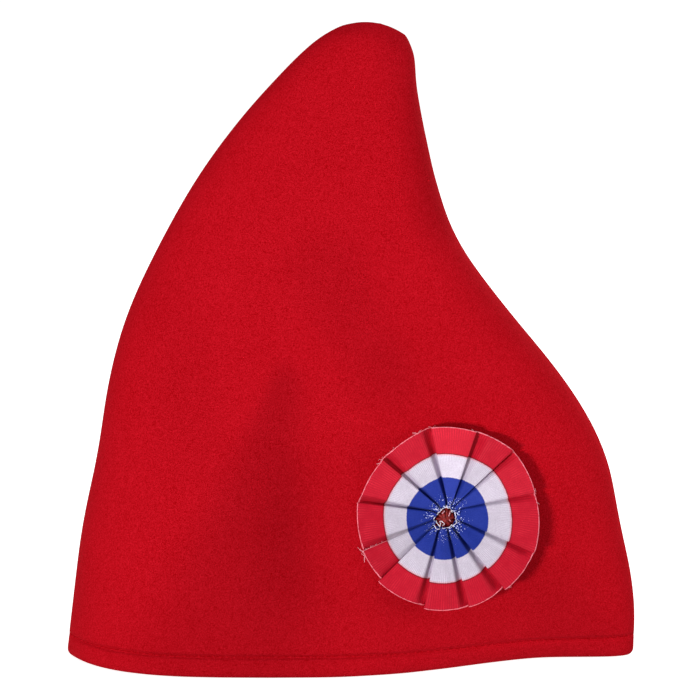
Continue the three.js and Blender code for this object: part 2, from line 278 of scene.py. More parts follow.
FRAYED_RIM = (-108, 251)  # degrees over which the short ones are spread
CUT_FRAYS = 20  # along the cut end
CUT_FRAY_PLACES = (0.72, 0.99)  # shares of the ribbon's width
CUT_FRAY_LENGTHS = (0.3, 0.8)
HOLE_ENDS = 22  # short ends round the hole
HOLE_END_RADII = (4.0, 4.6)
HOLE_END_TURNS = (-18, 18)  # degrees round the hole
RING_HEIGHT = 3.9  # of the threads round the hole, above the felt

# Stage: each light's name, place and width in metres
LAMPS = (
    ("key", (-0.75, -1.5, 0.03), 0.3),
    ("front", (-0.1, -1.3, 1.4), 1.2),
    ("fill", (1.5, -0.35, 0.3), 0.9),
    ("back", (0.9, 1.3, 0.9), 0.9),
)
FLOOR_REACH = 40
VIEW_END = 100
VIEW_SHARES = (0.4993, 0.4878)  # how far across and up the solids' box the camera looks


class FeltSettings(bpy.types.PropertyGroup):
    """Sizes and colours of the felt and its hem."""

    colour: bpy.props.FloatVectorProperty(
        name="Felt colour", description="Red of the felt", default=(0.56, 0.0066, 0.017), **COLOUR
    )
    shade: bpy.props.FloatVectorProperty(
        name="Fibre shade",
        description="Darker red between the fibres",
        default=(0.325, 0.0001, 0.0015),
        **COLOUR,
    )
    fibre: bpy.props.FloatProperty(
        name="Fibre size", description="Size of the felt's mottling", default=0.5 * MM, **LENGTH
    )
    wobble: bpy.props.FloatProperty(
        name="Wobble", description="How far the felt wanders in and out", default=0.5 * MM, **LENGTH
    )
    hem_height: bpy.props.FloatProperty(
        name="Hem height",
        description="Height of the stitch line above the rim",
        default=9.5 * MM,
        **LENGTH,
    )
    stitch_pitch: bpy.props.FloatProperty(
        name="Stitch pitch", description="From one hem stitch to the next", default=3.0 * MM, **LENGTH
    )
    stitch_thread: bpy.props.FloatProperty(
        name="Stitch thread", description="Thickness of the hem's thread", default=0.3 * MM, **LENGTH
    )


class CockadeSettings(bpy.types.PropertyGroup):
    """Sizes and colours of the cockade."""

    radius: bpy.props.FloatProperty(
        name="Radius", description="From the hole's middle to the rim", default=39.5 * MM, **LENGTH
    )
    hole: bpy.props.FloatProperty(
        name="Hole", description="Radius of the gathered hole", default=4.2 * MM, **LENGTH
    )
    turn: bpy.props.FloatProperty(
        name="Turn",
        description="How far the cockade faces round to the tip's side",
        default=math.radians(7.5),
        **ANGLE,
    )
    tilt: bpy.props.FloatProperty(
        name="Tilt",
        description="How far the cockade leans back with the felt",
        default=math.radians(4),
        **ANGLE,
    )
    stand_off: bpy.props.FloatProperty(
        name="Stand off",
        description="From the felt to the lowest layer at the hole",
        default=1.5 * MM,
        **LENGTH,
    )
    hole_height: bpy.props.FloatProperty(
        name="Pleat height at the hole",
        description="How high a fold stands at the hole",
        default=2.3 * MM,
        **LENGTH,
    )
    rim_height: bpy.props.FloatProperty(
        name="Pleat height at the rim",
        description="How high a fold stands at the rim",
        default=5.4 * MM,
        **LENGTH,
    )
    hole_slope: bpy.props.FloatProperty(
        name="Slope at the hole",
        description="How far a facet runs from its valley until it is level, at the hole",
        default=1.0 * MM,
        **LENGTH,
    )
    rim_slope: bpy.props.FloatProperty(
        name="Slope at the rim",
        description="How far a facet runs from its valley until it is level, at the rim",
        default=4.8 * MM,
        **LENGTH,
    )
    dish: bpy.props.FloatProperty(
        name="Dish",
        description="How much further the rim stands off than the hole",
        default=1.0 * MM,
        **LENGTH,
    )
    thickness: bpy.props.FloatProperty(
        name="Ribbon thickness", description="Thickness of the ribbon", default=0.22 * MM, **LENGTH
    )
    red: bpy.props.FloatVectorProperty(
        name="Red stripe", description="Outer stripe of the ribbon", default=(0.67, 0.008, 0.03), **COLOUR
    )
    white: bpy.props.FloatVectorProperty(
        name="White stripe",
        description="Middle stripe of the ribbon",
        default=(0.77, 0.71, 0.81),
        **COLOUR,
    )
    blue: bpy.props.FloatVectorProperty(
        name="Blue stripe",
        description="Inner stripe of the ribbon",
        default=(0.018, 0.043, 0.36),
        **COLOUR,
    )
    selvage: bpy.props.FloatVectorProperty(
        name="Selvage",
        description="Pale threads along the ribbon's edges",
        default=(1.0, 0.26, 0.33),
        **COLOUR,
    )
    core_end: bpy.props.FloatVectorProperty(
        name="Core ends",
        description="Pale thread ends that show between the ribs near the hole",
        default=(0.6, 0.64, 0.95),
        **COLOUR,
    )
    # Painted shade: a near black colour put in the gaps between the ribs near the hole.
    gap: bpy.props.FloatVectorProperty(
        name="Gaps",
        description="Dark gaps between the ribs near the hole",
        default=(0.002, 0.004, 0.05),
        **COLOUR,
    )
    core: bpy.props.FloatVectorProperty(
        name="Tack thread",
        description="Dark red thread that tacks the cockade to the felt",
        default=(0.3, 0.012, 0.012),
        **COLOUR,
    )


class StageSettings(bpy.types.PropertyGroup):
    """The floor, the light and the camera."""

    floor: bpy.props.FloatVectorProperty(
        name="Floor colour", description="Colour of the floor", default=(0.92, 0.92, 0.92), **COLOUR
    )
    floor_glow: bpy.props.FloatProperty(
        name="Floor glow", description="Light that the floor gives off by itself", default=0.85
    )
    sky: bpy.props.FloatProperty(
        name="Soft light", description="Strength of the light from all round", default=0.3
    )
    key_power: bpy.props.FloatProperty(
        name="Key light", description="Power of the light from the left", default=36, **POWER
    )
    front_power: bpy.props.FloatProperty(
        name="Front light", description="Power of the light above the camera", default=3.5, **POWER
    )
    fill_power: bpy.props.FloatProperty(
        name="Fill light", description="Power of the light from the right", default=13, **POWER
    )
    back_power: bpy.props.FloatProperty(
        name="Back light", description="Power of the light from behind", default=14, **POWER
    )
    camera_distance: bpy.props.FloatProperty(
        name="Camera distance",
        description="From the camera to the middle of the view",
        default=1300 * MM,
        **LENGTH,
    )
    camera_height: bpy.props.FloatProperty(
        name="Camera elevation",
        description="Angle of the camera above the horizon",
        default=math.radians(9.6),
        **ANGLE,
    )
    view_width: bpy.props.FloatProperty(
        name="View width",
        description="Width of the view at the cap's middle plane",
        default=304.4 * MM,
        **LENGTH,
    )


class Value:
    """A shader socket that can stand in a sum, where each operation adds a Math node."""

    def __init__(self, paint, socket):
        self.paint = paint
        self.socket = socket

    def math(self, operation, first, second):
        return self.paint.node("ShaderNodeMath", {"operation": operation}, {0: first, 1: second})

    def __add__(self, other):
        return self.math("ADD", self, other)

    def __radd__(self, other):
        return self.math("ADD", other, self)

    def __sub__(self, other):
        return self.math("SUBTRACT", self, other)

    def __rsub__(self, other):
        return self.math("SUBTRACT", other, self)

    def __mul__(self, other):
        return self.math("MULTIPLY", self, other)

    def __rmul__(self, other):
        return self.math("MULTIPLY", other, self)

    def __truediv__(self, other):
        return self.math("DIVIDE", self, other)

    def __gt__(self, other):
        return self.math("GREATER_THAN", self, other)

    def __lt__(self, other):
        return self.math("LESS_THAN", self, other)


class Paint:
    """The nodes of a material or a world, with one method that adds a node of any type."""

    def __init__(self, owner, shader="Principled BSDF"):
        owner.use_nodes = True
        self.owner = owner
        self.tree = owner.node_tree
        self.shader = self.tree.nodes[shader]

    def node(self, kind, settings=None, inputs=None, output=0):
        made = self.tree.nodes.new(kind)
        for name, value in (settings or {}).items():
            if name == "stops":
                self.set_stops(made.color_ramp, value)
            else:
                setattr(made, name, value)
        for key, value in (inputs or {}).items():
            self.feed(made.inputs[key], value)
        return Value(self, made.outputs[output])

    def set_stops(self, ramp, stops):
        while len(ramp.elements) < len(stops):
            ramp.elements.new(1)
        for element, (position, colour) in zip(ramp.elements, stops):
            element.position = position
            element.color = (*colour, 1)

    def feed(self, socket, value):
        if isinstance(value, Value):
            self.tree.links.new(value.socket, socket)
        else:
            socket.default_value = value

    def mix(self, share, first, second, blend_type="MIX"):
        settings = {"data_type": "RGBA", "blend_type": blend_type}
        return self.node("ShaderNodeMix", settings, {0: share, 6: first, 7: second}, output=2)

    def place(self):
        return self.node("ShaderNodeTexCoord", output="Object")

    def attribute(self, name):
        return self.node("ShaderNodeAttribute", {"attribute_name": name}, output="Fac")

    def uv_parts(self, name):
        """The two coordinates of a UV map."""
        uv = {"Vector": self.node("ShaderNodeUVMap", {"uv_map": name})}
        return [self.node("ShaderNodeSeparateXYZ", None, uv, output=part) for part in (0, 1)]

    def wave(self, turn):
        """From 0 to 1 and back as an angle goes round."""
        return 0.5 + 0.5 * self.node("ShaderNodeMath", {"operation": "SINE"}, {0: turn})

    def grain(self, place, size, detail=2, roughness=0.5):
        """Noise from 0 to 1 whose lumps are about that size, in metres."""
        inputs = {"Vector": place, "Scale": 1 / size, "Detail": detail, "Roughness": roughness}
        return self.node("ShaderNodeTexNoise", None, inputs)

    def spread(self, value, low, high):
        """The value's stretch from low to high, as 0 to 1."""
        inputs = {"Value": value, "From Min": low, "From Max": high}
        return self.node("ShaderNodeMapRange", {"clamp": True}, inputs)

    def bump(self, height, depth, strength):
        inputs = {"Height": height, "Distance": depth, "Strength": strength}
        return self.node("ShaderNodeBump", None, inputs)

    def finish(self, constants, **links):
        """Sets the shader's plain numbers and its links, and gives the material or world."""
        for name, value in constants.items():
            self.shader.inputs[name].default_value = value
        for name, value in links.items():
            self.feed(self.shader.inputs[name.replace("_", " ")], value)
        return self.owner


def new_paint(name):
    """The nodes of a new material."""
    return Paint(bpy.data.materials.new(name))


def opaque(colour):
    return (*colour, 1)


def blend(first, second, share):
    """A colour between two others."""
    return tuple((1 - share) * a + share * b for a, b in zip(first, second))


def scaled(colour, share):
    return tuple(share * part for part in colour)


def smooth_step(low, high, value):
    share = np.clip((value - low) / (high - low), 0, 1)
    return share * share * (3 - 2 * share)


def ease(low, high, value):
    """smooth_step of one number."""
    return float(smooth_step(low, high, value))


def unit_rows(rows):
    """Each row as a direction of length 1."""
    return rows / np.linalg.norm(rows, axis=1)[:, None]


def lengths_along(line):
    """How far along a line each of its points lies."""
    steps = np.linalg.norm(np.diff(line, axis=0), axis=1)
    return np.concatenate([[0], np.cumsum(steps)])


def add_object(name, data):
    made = bpy.data.objects.new(name, data)
    bpy.context.scene.collection.objects.link(made)
    return made


def mesh_of(form, name):
    """A mesh of what a bmesh holds, which is then freed."""
    mesh = bpy.data.meshes.new(name)
    form.to_mesh(mesh)
    form.free()
    return mesh


def add_piece(name, mesh, material):
    """A smooth shaded piece of the object that rides on its only body."""
    mesh.name = name
    mesh.materials.clear()
    mesh.materials.append(material)
    mesh.shade_smooth()
    piece = add_object(name, mesh)
    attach(piece, "root")
    return piece


def apply_modifiers(piece):
    """Puts what the modifiers make into the piece's own mesh."""
    graph = bpy.context.evaluated_depsgraph_get()
    made = bpy.data.meshes.new_from_object(piece.evaluated_get(graph))
    piece.modifiers.clear()
    piece.data = made


def add_subdivision(piece, levels):
    rounding = piece.modifiers.new("rounding", "SUBSURF")
    rounding.levels = levels
    rounding.render_levels = levels


def thread_mesh(name, paths, thickness, sides):
    """One mesh of closed round threads along paths of points, with the length along them as UV."""
    form = bmesh.new()
    uv = form.loops.layers.uv.new("thread")
    for path in paths:
        line = np.array(path, float)
        along = unit_rows(np.gradient(line, axis=0))
        aside = unit_rows(np.cross(along, np.where(np.abs(along[:, 2:]) < 0.8, (0, 0, 1), (1, 0, 0))))
        above = np.cross(along, aside)
        lengths = lengths_along(line)
        last = len(line) - 1
        made = bmesh.ops.create_grid(form, x_segments=last, y_segments=sides, size=0.5)["verts"]
        grid = {(round((v.co.x + 0.5) * last), round((v.co.y + 0.5) * sides)): v for v in made}
        for (i, k), vertex in grid.items():
            turn = 2 * math.pi * k / sides
            out = math.cos(turn) * aside[i] + math.sin(turn) * above[i]
            vertex.co = line[i] + thickness / 2 * out
            for loop in vertex.link_loops:
                loop[uv].uv = (lengths[i], k / sides)
        bmesh.ops.weld_verts(form, targetmap={grid[i, sides]: grid[i, 0] for i in range(last + 1)})
        for i in (0, last):
            cap = form.faces.new([grid[i, k] for k in range(sides)])
            for loop in cap.loops:
                loop[uv].uv = (lengths[i], 0)
    bmesh.ops.recalc_face_normals(form, faces=form.faces)
    return mesh_of(form, name)


def felt_material(settings):
    """Matted red fibres: fine mottling, loose tufts and a soft nap."""
    paint = new_paint("red_felt")
    place = paint.place()
    fine = paint.grain(place, settings.fibre, roughness=0.55)
    tufts = paint.grain(place, 5 * settings.fibre)
    cloudy = paint.grain(place, 60 * settings.fibre)
    matting = 0.84 * fine + 0.09 * tufts + 0.07 * cloudy
    share = paint.spread(matting, 0.32, 0.66)
    colour = paint.mix(share, opaque(settings.shade), opaque(settings.colour))
    # Painted shade: the panels' point attribute darkens the felt over its folds, dents and turned-away
    # sides.
    colour = paint.mix(paint.attribute("pressed"), colour, (0, 0, 0, 1))
    strands = paint.node(
        "ShaderNodeMapping",
        {"vector_type": "TEXTURE"},
        {"Vector": place, "Rotation": (0.4, 0.9, 0.3), "Scale": (1, 1, 3)},
    )
    strand = paint.grain(strands, 0.7 * settings.fibre)
    return paint.finish(
        {
            "Specular IOR Level": 0.012,
            "Sheen Weight": 0.3,
            "Sheen Roughness": 0.5,
            "Sheen Tint": opaque(settings.colour),
        },
        Base_Color=colour,
        Roughness=0.97 - 0.1 * fine,
        Normal=paint.bump(0.6 * fine + 0.4 * strand, NAP_DEPTH, 0.55),
    )


def from_seam(points):
    """How far each point lies from the seam's plane."""
    return np.abs(points[:, 1] - SEAM_Y)


def felt_relief(points, settings):
    """How far each point of a panel moves out along Y: soft unevenness that fades at the seam."""
    moves = [
        settings.wobble * sum(share * noise.noise(Vector(p) / size) for share, size in WOBBLES)
        for p in points
    ]
    return np.array(moves) * smooth_step(0, WOBBLE_FADE, from_seam(points))


def painted_shade_at(points, side):
    """How much painted shade darkens the felt at each point of a panel, over its folds and dents."""
    darker = np.zeros(len(points))
    x, z = points[:, 0] / MM, points[:, 2] / MM
    for zone in PAINTED_SHADE_ZONES:
        if zone["side"] != side:
            continue
        (head_x, head_z), (foot_x, foot_z) = zone["head"], zone["foot"]
        down = np.clip((head_z - z) / (head_z - foot_z), 0, 1)
        off = x - (head_x + (foot_x - head_x) * down)
        left = zone["left"][0] + (zone["left"][1] - zone["left"][0]) * down
        right = zone["right"][0] + (zone["right"][1] - zone["right"][0]) * down
        above, below = np.maximum(0, z - head_z), np.maximum(0, foot_z - z)
        beyond = above / zone["right"][0] + below / zone["right"][1]
        away = np.hypot(off / np.where(off < 0, left, right), beyond)
        darker += zone["darker"] * (1 - smooth_step(*SHADE_ZONE_EDGE, away))
    return darker


def near_cockade(points, cockade):
    """1 under the cockade, falling to 0 a little way outside its rim."""
    middle = cockade.translation
    away = np.hypot(points[:, 0] - middle.x, points[:, 2] - middle.z)
    rim = bpy.context.scene.cap_cockade.radius
    return 1 - smooth_step(rim, rim + COVER_FADE, away)


def hem_relief(points, settings):
    """How far the outer face moves along its normal near the stitch line."""
    off = points[:, 2] - settings.hem_height
    groove = -GROOVE_DEPTH * np.exp(-((off / GROOVE_WIDTH) ** 2))
    pucker = np.array([noise.noise(Vector(p) / PUCKER_SIZE) for p in points])
    relief = groove + PUCKER_DEPTH * pucker * np.exp(-((off / PUCKER_REACH) ** 2))
    return relief * smooth_step(0, SEAM_FADE, from_seam(points))


def rim_fold(points, normals):
    """How each point moves in where the outer face rounds under to the folded rim."""
    down = np.clip(1 - points[:, 2] / FOLD_HEIGHT, 0, 1)
    inward = FOLD_DEPTH * (1 - np.sqrt(1 - down * down)) * outer_share(points, normals)
    moves = -normals * inward[:, None]
    moves[:, 1] *= smooth_step(0, SEAM_FADE, from_seam(points))
    moves[:, 2] = 0
    return moves


def outer_share(points, normals):
    """1 on a panel's outer face and 0 inside, for the rows near the rim."""
    from_middle = points - np.array((0, SEAM_Y, 0))
    from_middle[:, 2] = 0
    return (np.einsum("ij,ij->i", from_middle, normals) > 0).astype(float)


def felt_panel(name, side, settings, material):
    """A felt panel made from its solid, rounded, closed at the seam and given its unevenness."""
    form = bmesh.new()
    form.from_mesh(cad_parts[name].data)
    bmesh.ops.remove_doubles(form, verts=form.verts, dist=WELD)
    bmesh.ops.join_triangles(
        form, faces=form.faces, angle_face_threshold=math.pi, angle_shape_threshold=math.pi
    )
    for off in HEM_ROWS:
        geometry = form.verts[:] + form.edges[:] + form.faces[:]
        level = UP * (settings.hem_height + off)
        bmesh.ops.bisect_plane(form, geom=geometry, plane_co=level, plane_no=UP)
    piece = add_piece(name + "_felt", mesh_of(form, name), material)
    add_subdivision(piece, PANEL_LEVELS)
    apply_modifiers(piece)

    mesh = piece.data
    points = np.zeros(len(mesh.vertices) * 3)
    normals = np.zeros(len(mesh.vertices) * 3)
    mesh.vertices.foreach_get("co", points)
    mesh.vertex_normals.foreach_get("vector", normals)
    points, normals = points.reshape(-1, 3), normals.reshape(-1, 3)
    cover = near_cockade(points, cockade_place()) if side < 0 else np.zeros(len(points))
    relief = felt_relief(points, settings)
    relief = np.where(relief > 0, relief * (1 - cover), relief)
    hem = hem_relief(points, settings) * outer_share(points, normals)
    open_by = from_seam(points)
    facing = smooth_step(*SEAM_FACING, -side * normals[:, 1])
    seam = open_by * facing * (open_by < SEAM_REACH)
    outward = normals * np.array((1, 0, 1))
    outside = np.einsum("ij,ij->i", points - points.mean(axis=0), outward) > 0
    swell = SEAM_FULLNESS * outside * smooth_step(SEAM_FADE, 0, open_by)
    points += normals * hem[:, None] + outward * swell[:, None] + rim_fold(points, normals)
    points[:, 1] += side * relief - side * seam
    lift = points[:, 2].min()
    points[:, 2] -= lift * (1 - smooth_step(0, LEVEL_HEIGHT, points[:, 2]))
    mesh.vertices.foreach_set("co", points.ravel())
    # Painted shade for the material, over the felt's folds, dents and turned-away sides.
    pressed = mesh.attributes.new("pressed", "FLOAT", "POINT")
    pressed.data.foreach_set("value", painted_shade_at(points, side))
    mesh.update()
    mesh.shade_smooth()
    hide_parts(name)
    return piece


def hem_line(panel, height):
    """Points along a panel's outer face at the stitch line, in order round the cap."""
    cut = bmesh.new()
    cut.from_mesh(panel.data)
    geometry = cut.verts[:] + cut.edges[:] + cut.faces[:]
    made = bmesh.ops.bisect_plane(cut, geom=geometry, plane_co=UP * height, plane_no=UP)
    cut.normal_update()
    found = [v for v in made["geom_cut"] if isinstance(v, bmesh.types.BMVert)]
    points = np.array([v.co for v in found])
    outer = outer_share(points, np.array([v.normal for v in found])) > 0
    cut.free()
    points = points[outer]
    order = np.argsort(np.arctan2(points[:, 1] - SEAM_Y, points[:, 0]))
    return points[order]


def stitch_paths(line, settings):
    """One short run of thread for each stitch along a line, its ends drawn into the felt."""
    lengths = lengths_along(line)
    outward = line - np.array((0, SEAM_Y, 0))
    outward[:, 2] = 0
    outward = unit_rows(outward)
    count = int(lengths[-1] / settings.stitch_pitch)
    rise = settings.stitch_thread * np.array(STITCH_RISE)
    shares = np.array(STITCH_SHARES)
    paths = []
    for k in range(count):
        at = (k + shares) * lengths[-1] / count
        middle = np.stack([np.interp(at, lengths, line[:, i]) for i in range(3)], axis=1)
        out = np.stack([np.interp(at, lengths, outward[:, i]) for i in range(3)], axis=1)
        paths.append(middle + out * rise[:, None])
    return paths


def thread_material(thread, colour, shade):
    """Plied thread: twisted ribs along it, darker in between."""
    paint = new_paint(thread["material"])
    along, around = paint.uv_parts("thread")
    ply = paint.wave((along / (thread["twist"] * MM) + around) * (2 * math.pi))
    return paint.finish(
        {"Specular IOR Level": thread["shine"]},
        Base_Color=paint.mix(0.35 + 0.65 * ply, opaque(shade), opaque(colour)),
        Roughness=thread["rough"] + 0.1 * ply,
        Normal=paint.bump(ply, PLY_DEPTH, 0.7),
    )


def add_threads(name, paths, thread, colour, shade):
    """A piece made of runs of one kind of thread."""
    mesh = thread_mesh(name, paths, thread["thick"] * MM, thread["sides"])
    return add_piece(name, mesh, thread_material(thread, colour, shade))


def cockade_place():
    """Matrix from the cockade's own millimetres, x right, y up and z out, to the frame."""
    settings = bpy.context.scene.cap_cockade
    lean = Matrix.Rotation(math.radians(90) - settings.tilt, 4, "X")
    axes = Matrix.Rotation(settings.turn, 4, "Z") @ lean
    out = axes.to_3x3() @ UP
    top = max((v.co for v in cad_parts["tack_knot"].data.vertices), key=out.dot)
    return Matrix.Translation(top - out * KNOT_TOP * MM) @ axes @ Matrix.Scale(MM, 4)


def hole_edge(angle, across):
    """How far the ribbon's gathered edge stands back from the hole's circle, in millimetres."""
    back = 0
    for lobe in HOLE_LOBES:
        away = (angle - lobe["angle"] + 180) % 360 - 180
        back += lobe["reach"] * math.exp(-((away / lobe["width"]) ** 2))
    return back * (1 - ease(0, LOBE_DEPTH, across))


class Ribbon:
    """The ribbon's way through its pleats, in the cockade's own millimetres."""

    def __init__(self, settings):
        self.hole = settings.hole / MM
        self.radius = settings.radius / MM
        self.stand_off = settings.stand_off / MM
        self.heights = (settings.hole_height / MM, settings.rim_height / MM)
        self.slopes = (settings.hole_slope / MM, settings.rim_slope / MM)
        self.dish = settings.dish / MM
        self.folds = (*FOLDS, CUT_END)
        self.width = self.radius - self.hole

    def height(self, across):
        """How high a fold stands at a share of the way across the ribbon."""
        return self.heights[0] + (self.heights[1] - self.heights[0]) * across**HEIGHT_POWER

    def angle(self, k, across):
        """Where fold k lies, in degrees clockwise from the top."""
        radius = max(LEAN_RADIUS, self.hole + self.width * across)
        return self.folds[k]["angle"] + math.degrees(
            self.folds[k]["lean"] * (1 / radius - 1 / self.radius)
        )

    def slope(self, k, across):
        """Degrees over which facet k rises from its valley."""
        reach = self.slopes[0] + (self.slopes[1] - self.slopes[0]) * across**SLOPE_POWER
        reach *= self.folds[k]["wide"]
        span = self.angle(k + 1, across) - self.angle(k, across)
        return min(SLOPE_MOST * span, math.degrees(reach / (self.hole + self.width * across)))

    def lap(self, k, across):
        """Degrees of ribbon under fold k, as much as its length leaves and as fits there."""
        if self.folds[k]["laps"] < 0:
            return RIM_LAP
        gather = self.radius / (self.hole + self.width * across)
        deep = RIM_LAP * gather + MEAN_FACET / 2 * (gather - 1)
        room = self.angle(k, across) - self.angle(k - 1, across) if k else MEAN_FACET
        beside_top = k and self.folds[k - 1]["laps"] < 0
        return min(deep, room - LAP_MARGIN - (RIM_LAP if beside_top else 0))

    def stretches(self, k):
        """The stretches of facet k, in order."""
        rows = ["hidden_in", "slope_in"] if self.folds[k]["laps"] > 0 else []
        rows.append("level")
        return rows + (["slope_out", "hidden_out"] if self.folds[k + 1]["laps"] < 0 else [])

    def way(self, k, stretch, share, across):
        """Angle and lift of a place on facet k."""
        start, end = self.angle(k, across), self.angle(k + 1, across)
        slope = self.slope(k, across)
        fold = self.folds[k if stretch.endswith("in") else k + 1]
        opening = RIM_OPENING * ease(RIM_OPENS_FROM, 1, across)
        valley = 1 - (1 - VALLEY) * fold["deep"] + opening
        if stretch == "hidden_in":
            climb = ease(LIFT_FROM, 1, share)
            return start - self.lap(k, across) * (1 - share), VALLEY + (valley - VALLEY) * climb
        if stretch == "slope_in":
            climb = ease(fold["floor"], 1, share)
            return start + slope * share, valley + (SHOULDER - valley) * climb
        if stretch == "slope_out":
            climb = ease(fold["floor"], 1, 1 - share)
            return end - slope * (1 - share), valley + (SHOULDER - valley) * climb
        if stretch == "hidden_out":
            climb = ease(1 - LIFT_FROM, 0, share)
            return end + self.lap(k + 1, across) * share, VALLEY + (valley - VALLEY) * climb
        sloped = self.folds[k]["laps"] > 0, self.folds[k + 1]["laps"] < 0
        first, last = start + slope * sloped[0], end - slope * sloped[1]
        low, high = (SHOULDER if side else 1 for side in sloped)
        swell = FACET_SWELL * share * (1 - share)
        if not sloped[1]:
            swell -= EDGE_ROUND * max(0, (share - 1) / EDGE_SHARE + 1) ** 2
        return first + (last - first) * share, low + (high - low) * share + swell

    def place(self, angle, lift, reach, across):
        """The point at an angle, a lift from 0 to 1 and a share of the way across the ribbon."""
        radius = self.hole + (self.width + reach) * across + hole_edge(angle, across)
        rise = self.stand_off + self.height(across) * lift + self.dish * across * across
        return round_hole(angle, radius, rise)

    def facet_point(self, k, stretch, share, across):
        """A point on facet k."""
        angle, lift = self.way(k, stretch, share, across)
        start, end = self.angle(k, across), self.angle(k + 1, across)
        along = (angle - start) / (end - start)
        low, high = self.folds[k]["reach"]
        reach = low + (high - low) * min(1, max(0, along))
        reach -= TUCK * (max(0, -along) + max(0, along - 1)) / (RIM_LAP / MEAN_FACET)
        chord = math.cos(math.radians(end - start) / 2) - 1
        reach += RIM_STRAIGHTNESS * self.radius * chord * max(0, 4 * along * (1 - along))
        for crease in SOFT_CREASES:
            width = math.degrees(CREASE_WIDTH / max(CREASE_RADIUS, self.radius * across))
            lift -= CREASE_DEPTH * math.exp(-(((angle - crease) / width) ** 2))
        return self.place(angle, lift, reach, across)

    def return_point(self, k, share, across):
        """A point of the ribbon that runs back under the fold after facet k."""
        start = self.facet_point(k, self.stretches(k)[-1], 1, across)
        end = self.facet_point(k + 1, self.stretches(k + 1)[0], 0, across)
        on_top = self.folds[k + 1]["laps"] > 0
        from_edge = share if on_top else 1 - share
        low = min(start.z, end.z)
        under = low + RETURN_GAP * (1 - from_edge)
        edge = max(start.z, end.z)
        point = start.lerp(end, share)
        point.z = under + (edge - under) * (1 - ease(0, RETURN_EDGE, from_edge))
        return point

    def visible_point(self, angle, across):
        """The point of the facet that shows at an angle."""
        k = max(i for i in range(len(FOLDS)) if i == 0 or FOLDS[i]["angle"] <= angle)
        first = self.way(k, "level", 0, across)[0]
        last = self.way(k, "level", 1, across)[0]
        share = (angle - first) / (last - first)
        return self.facet_point(k, "level", min(1, max(0, share)), across)

    def stations(self):
        """The ribbon's stations from start to end: the painted light and shade of the facet, and a
        function of the share across.
        """
        shares = {"hidden": HIDDEN_SHARES, "slope": SLOPE_SHARES, "level": LEVEL_SHARES}
        rows = []
        for k in range(len(FOLDS)):
            for stretch in self.stretches(k):
                for share in shares[stretch.split("_")[0]]:
                    rows.append((FOLDS[k]["tone"], partial(self.facet_point, k, stretch, share)))
            if k + 1 < len(FOLDS):
                for share in RETURN_SHARES:
                    rows.append((1, partial(self.return_point, k, share)))
        return rows


def ribbon_mesh(ribbon):
    """A grid strip laid through the pleats, with its length and width as UV."""
    stations = ribbon.stations()
    rim = [point(1) for _, point in stations]
    steps = [(b - a).length for a, b in zip(rim, rim[1:])]
    lengths = np.concatenate([[0], np.cumsum(steps)])
    form = bmesh.new()
    uv = form.loops.layers.uv.new("ribbon")
    # Each point keeps its facet's painted light and shade, which the material scales its colour by.
    tone = form.verts.layers.float.new("tone")
    bmesh.ops.create_grid(form, x_segments=len(stations) - 1, y_segments=WIDTH_STEPS, size=0.5)
    cells = {}
    for vertex in form.verts:
        column = round((vertex.co.x + 0.5) * (len(stations) - 1))
        across = vertex.co.y + 0.5
        cells[vertex] = (lengths[column] / lengths[-1], across)
        vertex[tone], point = stations[column]
        vertex.co = point(across)
    for face in form.faces:
        for loop in face.loops:
            loop[uv].uv = cells[loop.vert]
    for vertex in form.verts:
        vertex.co.z += sum(depth * noise.noise(vertex.co / size) for depth, size in RIPPLES)
    form.transform(cockade_place())
    return mesh_of(form, "cockade_ribbon"), lengths[-1]


